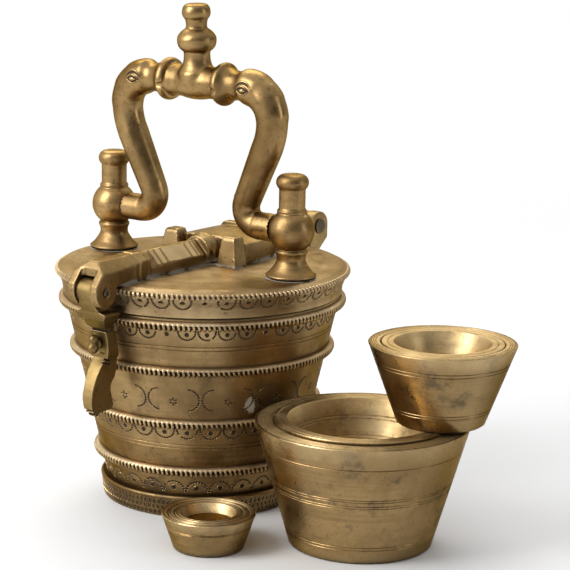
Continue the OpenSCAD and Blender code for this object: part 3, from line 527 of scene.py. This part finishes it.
def facing_arcs(bm):
    """Pairs of half circles set back to back, with a star between the pairs."""
    for n in range(pair_count):
        middle = 2 * math.pi * n / pair_count
        for side in (-1, 1):
            for k in range(-pair_half, pair_half + 1):
                t = math.radians(pair_step * k)
                z = pair_z + pair_r * math.sin(t)
                angle = middle + side * (pair_gap + pair_r - pair_r * math.cos(t)) / wall_r(z)
                length = pair_long if k > pair_half / 2 else pair_short
                set_mark(bm, wall_r, angle, z, 90 - side * math.degrees(t), length, pair_wide)
        star = middle + math.pi / pair_count
        for k in range(star_strokes):
            lean = 360 / star_strokes * k + 30
            t = math.radians(lean)
            z = pair_z - star_drop + star_r * math.sin(t)
            angle = star + star_r * math.cos(t) / wall_r(z)
            set_mark(bm, wall_r, angle, z, lean, star_long, star_wide)


def foot_wall_r(z):
    return foot_r + (foot_ridge_r - foot_r) * foot_lean * z / foot_top


def foot_hatch(bm):
    """Curved strokes round the foot, each of three cuts."""
    for n in range(hatch_count):
        for z, lean, shift in hatch_cuts:
            angle = 2 * math.pi * n / hatch_count + shift / foot_r
            set_mark(bm, foot_wall_r, angle, z, lean, hatch_long, hatch_wide)


punches = bmesh.new()
arc_row(punches, wall_r, mid_z=88.9 * mm, up_sign=-1, arc_r=3.8 * mm, arc_pitch=8.7 * mm,
        dot=dot_r, eye=0.9 * eye_r, eye_share=0.36)
facing_arcs(punches)
arc_row(punches, wall_r, mid_z=42.6 * mm, up_sign=-1, arc_r=4.6 * mm, arc_pitch=10.4 * mm,
        dot=1.1 * dot_r, eye=eye_r, eye_share=0.40)
arc_row(punches, wall_r, mid_z=12.3 * mm, up_sign=1, arc_r=4.6 * mm, arc_pitch=10.4 * mm,
        dot=1.1 * dot_r, eye=eye_r, eye_share=0.34)
foot_hatch(punches)
case_punches = soft_object("case_punches", punches)
dress(case_punches, bead_brass, "case", "case_brass")
case_punches.data.materials.append(nook_grime_and_shade)


# The lid
# A thick turned disc with a roped edge, punched round its side like the case,
# and centred in the case by a low spigot underneath.
lid_low, lid_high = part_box("lid")
lid_top = lid_high.z
lid_edge_r = 67.0 * mm
lid_crown = 1.5 * mm
lid_edge_z = lid_top - lid_crown
lid_seat_r = 63.2 * mm
lid_gap = 0.35 * mm
seat_z = case_h + 0.05 * mm
spigot_r = 57.1 * mm
rope_h = 2.6 * mm
rope_reach = 1.0 * mm
rope_nicked = 1.4
rope_mid_r = lid_edge_r - rope_h / 2
lid_flat_r = rope_mid_r - 2 * lid_crown
lid_arcs_z = lid_edge_z - 3.0 * mm
lid_under = [(0, lid_low.z), (spigot_r, lid_low.z), (spigot_r, seat_z), (lid_seat_r - 2.4 * mm, seat_z),
             (lid_seat_r - 2.0 * mm, case_h + lid_gap)]
lid_side = [(lid_seat_r - 0.5 * mm, case_h + lid_gap), (lid_seat_r, case_h + 2 * lid_gap),
            (lid_seat_r + 0.5 * mm, case_h + 4.5 * mm), (lid_seat_r + 1.4 * mm, case_h + 7 * mm),
            (lid_edge_r - 1.2 * mm, lid_edge_z - rope_h)]
lid_upper = [(rope_mid_r, lid_edge_z - 0.2 * mm), (lid_flat_r + 1.2 * mm, lid_top - 0.5 * mm),
             (lid_flat_r, lid_top - 0.12 * mm), (lid_flat_r - 2 * mm, lid_top), (0, lid_top)]


def lid_side_r(z):
    for (r0, z0), (r1, z1) in zip(lid_side, lid_side[1:]):
        if z <= z1:
            break
    return r0 + (r1 - r0) * (z - z0) / (z1 - z0)


lid_brass = aged_brass("lid_brass", (0.47, 0.34, 0.18, 1), (0.29, 0.20, 0.10, 1), rough=0.40, lathe=(0, 0),
                       lathe_depth=0.35, residue=(lid_top - 0.5 * mm, lid_top + 1 * mm), wear=0.5,
                       stain=0.3)
lid = turn("lid_disc", lid_under + lid_side + lid_upper, case_sectors)
dress(lid, lid_brass, "lid", "case_brass", "lid")
lid_rope = roped_bead("lid_rope", lid_edge_r, lid_edge_z - rope_h / 2, rope_h, rope_reach, rope_nicked)
# The rope takes the rubbed brass that is painted as lit from above.
dress(lid_rope, rubbed_and_lit_brass, "lid", "case_brass")
lid_rope.data.materials.append(nook_grime_and_shade)

lid_marks = bmesh.new()
arc_row(lid_marks, lid_side_r, mid_z=lid_arcs_z, up_sign=-1, arc_r=3.9 * mm, arc_pitch=9.5 * mm,
        dot=0.82 * mm, eye=1.4 * mm, eye_share=0.26)
lid_punches = soft_object("lid_punches", lid_marks)
dress(lid_punches, bead_brass, "lid", "case_brass")
lid_punches.data.materials.append(nook_grime_and_shade)


# The strap
# One casting runs across the lid, from the fork that holds the hasp to the middle barrel
# of the hinge. It is dressed with a file, and its edges are soft from handling.
ease_share = 0.5


def cast_copy(node, name, voxel, passes, blocks=()):
    """A copy of a CAD node as a soft casting: blocks cut out of it, its mesh made even
    and its edges eased. Each block is the matrix that places a unit cube."""
    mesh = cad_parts[node].data.copy()
    bm = bmesh.new()
    bm.from_mesh(mesh)
    bmesh.ops.remove_doubles(bm, verts=bm.verts, dist=weld)
    bm.to_mesh(mesh)
    bm.free()
    mesh.materials.clear()
    blank = bpy.data.objects.new(name, mesh)
    bpy.context.scene.collection.objects.link(blank)
    if blocks:
        cutter_bm = bmesh.new()
        for block in blocks:
            bmesh.ops.create_cube(cutter_bm, size=1, matrix=block)
        cutter = soft_object(f"{name}_cutter", cutter_bm)
        chase = blank.modifiers.new("chase", "BOOLEAN")
        chase.object = cutter
        chase.solver = "EXACT"
        chase.use_self = True
    even = blank.modifiers.new("even", "REMESH")
    even.mode = "VOXEL"
    even.voxel_size = voxel
    ease = blank.modifiers.new("ease", "SMOOTH")
    ease.factor = ease_share
    ease.iterations = passes
    seen = blank.evaluated_get(bpy.context.evaluated_depsgraph_get())
    finished = bpy.data.meshes.new_from_object(seen)
    blank.modifiers.clear()
    blank.data = finished
    blank.data.name = name
    if blocks:
        bpy.data.objects.remove(cutter)
    for polygon in blank.data.polygons:
        polygon.use_smooth = True
    return blank


strap_brass = aged_brass("strap_brass", (0.41, 0.286, 0.132, 1), (0.235, 0.154, 0.067, 1), rough=0.36,
                         cast=0.8, nook_reach=4 * mm, residue=(lid_top, lid_top + 2.4 * mm), wear=0.8,
                         filed=0.8)
strap = cast_copy("lid_strap", "strap_casting", voxel=0.45 * mm, passes=4)
dress(strap, strap_brass, "lid", "strap_brass", "lid_strap", "strap_rivets")


# The hinge
# Two outer barrels on a bracket that is riveted to the back of the case, with an iron pin
# through them and the strap's middle barrel.
hinge = cast_copy("hinge_bracket", "hinge_casting", voxel=0.5 * mm, passes=3)
dress(hinge, strap_brass, "case", "strap_brass", "hinge_bracket")
hinge_rivets = cast_copy("bracket_rivets", "hinge_rivets", voxel=0.25 * mm, passes=2)
dress(hinge_rivets, strap_brass, "case", "strap_brass", "bracket_rivets")

pin_iron = aged_brass("pin_iron", (0.20, 0.155, 0.11, 1), (0.075, 0.06, 0.045, 1), rough=0.48, cast=0.6,
                      wear=0.5)
hinge_pin = cast_copy("hinge_pin", "hinge_rod", voxel=0.3 * mm, passes=2)
dress(hinge_pin, pin_iron, "case", "pin_iron", "hinge_pin")


# The pillars
# Two turned balusters riveted through the lid, each with a trumpet foot. The ball of each is bored
# for the bail's pin.
trumpet_low = lid_top + 1.6 * mm
trumpet_high = lid_top + 10.5 * mm
trumpet_passes = 60
trumpet_waist = 0.17
pillar_bright = (0.41, 0.265, 0.112, 1)
pillar_deep = (0.20, 0.122, 0.046, 1)


def rub(piece, chosen, passes):
    """Rubs the chosen points of a casting smooth."""
    bm = bmesh.new()
    bm.from_mesh(piece.data)
    verts = [v for v in bm.verts if chosen(v.co)]
    for n in range(passes):
        bmesh.ops.smooth_vert(bm, verts=verts, factor=ease_share, use_axis_x=True, use_axis_y=True,
                              use_axis_z=True)
    bm.to_mesh(piece.data)
    bm.free()


for side in ("left", "right"):
    low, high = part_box(f"{side}_pillar")
    centre = ((low.x + high.x) / 2, (low.y + high.y) / 2)
    pillar_top = high.z
    pillar_brass = aged_brass(f"{side}_pillar_brass", pillar_bright, pillar_deep, rough=0.38, lathe=centre,
                              lathe_depth=0.12, cast=0.2, wear=0.7)
    pillar = cast_copy(f"{side}_pillar", f"{side}_baluster", voxel=0.4 * mm, passes=2)
    rub(pillar, lambda at: trumpet_low < at.z < trumpet_high, trumpet_passes)
    for v in pillar.data.vertices:
        rise = min(1, max(0, (v.co.z - trumpet_low) / (trumpet_high - trumpet_low)))
        waist = 1 - trumpet_waist * math.sin(math.pi * rise)
        v.co.x = centre[0] + (v.co.x - centre[0]) * waist
        v.co.y = centre[1] + (v.co.y - centre[1]) * waist
    dress(pillar, pillar_brass, "lid", "handle_brass", f"{side}_pillar")


# The bail
# The swinging handle: two arms that end in beasts' heads, which hold a barrel with a finial
# between their jaws. It is one casting, rubbed smooth by hands, with its eyes and brows chased in.
neck_x = 22.5 * mm
neck_z = pillar_top - 20 * mm
neck_passes = 36
barrel_x = 12 * mm
barrel_top = 199 * mm
barrel_passes = 10

bail_brass = aged_brass("bail_brass", (0.40, 0.262, 0.112, 1), (0.19, 0.115, 0.044, 1), rough=0.33,
                        cast=0.45, nook_reach=3.5 * mm, wear=0.6)
bail = cast_copy("bail", "bail_casting", voxel=0.45 * mm, passes=5)
rub(bail, lambda at: abs(at.x) > neck_x and at.z > neck_z, neck_passes)
rub(bail, lambda at: abs(at.x) < barrel_x and at.z < barrel_top, barrel_passes)
dress(bail, bail_brass, "bail", "handle_brass", "bail")

# Each shape of an eye has its half sizes along, out of and up the head, how high it sits, how much
# it bows and how far it stands proud, in millimetres. The cut ones take a dark fill of painted shade
# and old grime.
eye_x = 31.2 * mm
eye_z = 188.8 * mm
clear_of_head = 50 * mm
eye_socket = ((3.3, 0.10, 1.75), 0.0, 0.0, 0.02)
brow_cut = ((4.0, 0.10, 0.55), 3.15, -0.14, 0.02)
upper_lid = ((3.5, 0.50, 0.38), 1.80, -0.165, 0.06)
lower_lid = ((3.4, 0.50, 0.36), -1.70, 0.155, 0.06)
eye_ball = ((1.9, 0.62, 0.80), 0.0, 0.0, 0.04)
brow = ((4.4, 0.55, 0.45), 3.90, -0.13, 0.06)
eye_shapes = [(eye_socket, 1), (brow_cut, 1), (upper_lid, 0), (lower_lid, 0), (eye_ball, 0), (brow, 0)]

bail_skin = BVHTree.FromObject(bail, bpy.context.evaluated_depsgraph_get())
bail_eyes = bmesh.new()
for x_side in (-1, 1):
    for y_side in (-1, 1):
        for (half_sizes, rise, bow, proud), finish in eye_shapes:
            made = bmesh.ops.create_uvsphere(bail_eyes, u_segments=16, v_segments=8, radius=1)
            for v in made["verts"]:
                for face in v.link_faces:
                    face.material_index = finish
                u = v.co.x * half_sizes[0]
                lift = v.co.y * half_sizes[1] + proud
                w = v.co.z * half_sizes[2] + rise + bow * u * u
                start = Vector((x_side * eye_x + u * mm, y_side * clear_of_head, eye_z + w * mm))
                skin, normal = bail_skin.ray_cast(start, Vector((0, -y_side, 0)))[:2]
                v.co = skin + normal * lift * mm
bmesh.ops.recalc_face_normals(bail_eyes, faces=bail_eyes.faces)
eyes = soft_object("bail_eyes", bail_eyes)
dress(eyes, bail_brass, "bail", "handle_brass")
eyes.data.materials.append(nook_grime_and_shade)


# The hasp
# A cast tongue that hangs from an iron pin in the fork, with a crown-shaped shoulder, a sunk panel
# with a small turning knob, and a long leg for the finger, filed with grooves at both ends.
crown_z = 95.6 * mm
crown_fade = 6.0 * mm
crown_spread = 0.26
groove_half = 0.51
groove_half_h = 0.60


def block(middle, size, tilt=0):
    """Places a unit cube by its middle, its size and its tilt about X, in millimetres and degrees."""
    place = Matrix.Translation(Vector(middle) * mm) @ Matrix.Rotation(math.radians(tilt), 4, "X")
    return place @ Matrix.Diagonal((*(Vector(size) * mm), 1))


hasp_panel = block((0, -75, 82.3), (7.0, 8.8, 9.6), tilt=5.6)
hasp_grooves = [block((0, -75, 88.3), (20, 9.8, 0.9)), block((0, -80, 53.6), (20, 7.6, 0.8)),
                block((0, -79, 51.9), (20, 8.0, 0.8))]
for x_side in (-1, 1):
    for groove_z in (74.0, 75.6):
        hasp_grooves.append(block((6.8 * x_side, -71, groove_z), (7.8, 8, 0.7), tilt=-18))

hasp_brass = aged_brass("hasp_brass", (0.325, 0.226, 0.090, 1), (0.185, 0.124, 0.047, 1), rough=0.43,
                        cast=0.6, nook_reach=2.5 * mm, wear=0.9)
hasp = cast_copy("hasp", "hasp_casting", voxel=0.26 * mm, passes=2, blocks=[hasp_panel] + hasp_grooves)
# Faces in the grooves take the dark fill: painted shade, with old grime.
groove_spaces = [groove.inverted() for groove in hasp_grooves]
for polygon in hasp.data.polygons:
    for space in groove_spaces:
        at = space @ polygon.center
        if max(abs(at.x), abs(at.y)) < groove_half and abs(at.z) < groove_half_h:
            polygon.material_index = 1
for v in hasp.data.vertices:
    v.co.x *= 1 + crown_spread * max(0, 1 - abs(v.co.z - crown_z) / crown_fade) ** 2
dress(hasp, hasp_brass, "hasp", "hasp_brass", "hasp")
hasp.data.materials.append(nook_grime_and_shade)
knob = cast_copy("turn_knob", "knob_casting", voxel=0.2 * mm, passes=3)
dress(knob, hasp_brass, "knob", "hasp_brass", "turn_knob")
hasp_pin = cast_copy("hasp_pin", "hasp_rod", voxel=0.2 * mm, passes=2)
dress(hasp_pin, pin_iron, "lid", "pin_iron", "hasp_pin")


# The cups
# Each cup is turned from solid brass, and its hollow fits the next one of the set.
# Pairs of scribed lines run round them, and fine rings run round the broad rims.
cup_bright = (0.42, 0.275, 0.116, 1)
cup_deep = (0.225, 0.138, 0.053, 1)
# How strongly some cups are darkened towards the camera's right: painted shade.
cup_side_shade = {"cup_4": 0.75, "cup_2": 0.25}
# Paler brass for the hollows and rim tops of the cups: painted light, lifting them above the lamps' own.
lit_inner_bright = (0.66, 0.49, 0.26, 1)
lit_inner_deep = (0.42, 0.29, 0.13, 1)
cup_sectors = 24
cup_soft = 0.35 * mm
cup_chamfer = 0.8 * mm
rim_inset = 0.05 * mm
hollow_round = 0.6 * mm
nest_gap = 0.3 * mm
line_w = 0.28 * mm
line_d = 0.19 * mm
rim_line_w = 0.9 * line_w
rim_line_d = 1.2 * line_d
face_near = 0.01 * mm

# For each cup, the next one of the set, and the places of the lines outside, inside and on the rim.
cup_lines = {
    "cup_1": ("cup_2", [0.2, 0.8], [], []),
    "cup_2": ("cup_3", [0.11, 0.135, 0.49, 0.51, 0.545, 0.565, 0.83], [],
              [0.16, 0.30, 0.44, 0.58, 0.72, 0.86]),
    "cup_3": ("cup_4", [], [0.20, 0.24, 0.44, 0.48], [0.3]),
    "cup_4": ("cup_5", [0.175, 0.215, 0.755, 0.80], [], [0.25, 0.45, 0.65]),
    "cup_5": ("cup_6", [], [0.62, 0.68], [0.5]),
    "cup_6": ("cup_7", [0.66, 0.70], [], [0.5]),
    "cup_7": ("cup_8", [], [], [0.45]),
    "cup_8": ("core_weight", [], [], [0.5]),
}


def cup_sizes(node):
    """Middle, bottom, top, and radii of the sole, the rim and the mouth, read from a cup's solid."""
    low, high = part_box(node)
    middle = Vector(((low.x + high.x) / 2, (low.y + high.y) / 2))
    rows = [(v.co.z, (v.co.xy - middle).length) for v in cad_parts[node].data.vertices]
    at_bottom = [r for z, r in rows if z < low.z + face_near]
    at_top = [r for z, r in rows if z > high.z - face_near]
    return middle, low.z, high.z, max(at_bottom), max(at_top), min(at_top)


for node, (nested, outside, inside, rim) in cup_lines.items():
    middle, bottom, top, sole_r, rim_r, mouth_r = cup_sizes(node)
    nested_middle, nested_bottom, nested_top, nested_sole_r = cup_sizes(nested)[:4]
    in_place = (nested_middle - middle).length < mm
    hollow_z = nested_bottom if in_place else top - (nested_top - nested_bottom)
    hollow_r = nested_sole_r + nest_gap + (0 if nested == "core_weight" else cup_chamfer)
    wall_low_r = sole_r + cup_chamfer * (1 + (rim_r - sole_r) / (top - bottom))
    outline = [(0, bottom), (sole_r, bottom)]
    outline += scribe((wall_low_r, bottom + cup_chamfer), (rim_r - rim_inset, top - cup_soft), outside,
                      line_w, line_d)
    outline += scribe((rim_r - cup_soft, top), (mouth_r + cup_soft, top), rim, rim_line_w, rim_line_d)
    outline += scribe((mouth_r, top - cup_soft), (hollow_r, hollow_z + hollow_round), inside, line_w, line_d)
    outline += [(hollow_r - hollow_round, hollow_z), (0, hollow_z)]
    cup_brass = aged_brass(f"{node}_brass", cup_bright, cup_deep, rough=0.33, lathe=middle, cast=0.2,
                           nook_reach=3 * mm, stain=0.9, side_shade=cup_side_shade.get(node, 0.0))
    lit_inner_brass = aged_brass(f"{node}_lit_inner_brass", lit_inner_bright, lit_inner_deep, rough=0.44, lathe=middle,
                             cast=0.2, nook_reach=2 * mm, stain=0.5)

    # The hollow and the rim inside its outer edge take the paler brass: painted light.
    def inner(at):
        wall_at = wall_low_r + (rim_r - wall_low_r) * (at.z - bottom) / (top - bottom)
        return 1 if at.z > hollow_z - 0.1 * mm and at.xy.length < wall_at - mm else 0

    cup = turn(f"{node}_turning", outline, cup_sectors, centre=middle, paint=inner)
    dress(cup, cup_brass, "case" if node == "cup_1" else node, "cup_brass", node)
    cup.data.materials.append(lit_inner_brass)

core_brass = aged_brass("core_brass", cup_bright, cup_deep, rough=0.30, lathe=cup_sizes("core_weight")[0],
                        cast=0.2)
core = cast_copy("core_weight", "core_turning", voxel=0.3 * mm, passes=2)
dress(core, core_brass, "core_weight", "cup_brass", "core_weight")


# The floor and the light
# A pale studio sweep that runs out to white, with a large soft lamp at the left, one overhead
# at the back, a weak one at the right, and a dim room behind the camera.
white = (1, 1, 1, 1)
floor_tone = (0.70, 0.70, 0.70, 1)
floor_half = 12.0
floor_near = 0.30
floor_far = 0.95
bright_turn = stand_turn + math.radians(35)
bright_way = (-math.sin(bright_turn), math.cos(bright_turn), 0.7)
room_dim = 0.16
room_bright = 1.0
lamp_aim = Vector((0.02, -0.02, 0.09))

floor_bm = bmesh.new()
bmesh.ops.create_grid(floor_bm, x_segments=1, y_segments=1, size=floor_half)
floor = soft_object("floor", floor_bm)
floor_white = bpy.data.materials.new("floor_white")
floor_white.use_nodes = True
floor_tree = floor_white.node_tree
floor_shader = floor_tree.nodes["Principled BSDF"]
floor_shader.inputs["Base Color"].default_value = floor_tone
floor_shader.inputs["Roughness"].default_value = 0.9
floor_shader.inputs["Specular IOR Level"].default_value = 0.1
floor_place = add_node(floor_tree, "ShaderNodeTexCoord").outputs["Object"]
floor_distance = vector(floor_tree, "LENGTH", floor_place).outputs["Value"]
floor_paths = add_node(floor_tree, "ShaderNodeLightPath").outputs
floor_seen = calc(floor_tree, "MAXIMUM", floor_paths["Is Camera Ray"], floor_paths["Is Glossy Ray"])
floor_seen = calc(floor_tree, "MAXIMUM", floor_seen, floor_paths["Is Transmission Ray"])
floor_share = spread(floor_tree, floor_distance, floor_near, floor_far)
floor_share = calc(floor_tree, "MULTIPLY", floor_share, floor_seen)
floor_glow = add_node(floor_tree, "ShaderNodeEmission", {"Color": white, "Strength": 1.0})
floor_mix = add_node(floor_tree, "ShaderNodeMixShader", {0: floor_share, 1: floor_shader.outputs[0],
                                                         2: floor_glow.outputs[0]})
floor_tree.links.new(floor_mix.outputs[0], floor_tree.nodes["Material Output"].inputs["Surface"])
floor.data.materials.append(floor_white)

world = bpy.data.worlds.new("studio")
bpy.context.scene.world = world
world.use_nodes = True
sky = world.node_tree
sky_way = add_node(sky, "ShaderNodeTexCoord").outputs["Generated"]
behind = vector(sky, "DOT_PRODUCT", sky_way, bright_way).outputs["Value"]
backdrop = sky.nodes["Background"]
sky.links.new(spread(sky, behind, -0.6, 0.6, room_dim, room_bright), backdrop.inputs["Strength"])
backdrop.inputs["Color"].default_value = white


def soft_lamp(name, turn_deg, height, distance, size, power):
    """A soft box that faces the middle of the object; its turn is from the camera's own direction."""
    lamp = bpy.data.lights.new(name, "AREA")
    lamp.shape = "RECTANGLE"
    lamp.size, lamp.size_y = size
    lamp.energy = power
    made = bpy.data.objects.new(name, lamp)
    around = stand_turn + math.radians(turn_deg)
    at = Vector((distance * math.sin(around), -distance * math.cos(around), height))
    made.location = at
    made.rotation_euler = (lamp_aim - at).to_track_quat("-Z", "Y").to_euler()
    bpy.context.scene.collection.objects.link(made)


soft_lamp("key_lamp", turn_deg=-64, height=0.60, distance=0.75, size=(0.45, 0.7), power=7)
soft_lamp("fill_lamp", turn_deg=66, height=0.45, distance=1.2, size=(0.2, 0.7), power=1.6)
soft_lamp("top_lamp", turn_deg=-172, height=0.95, distance=0.70, size=(0.9, 0.6), power=7)
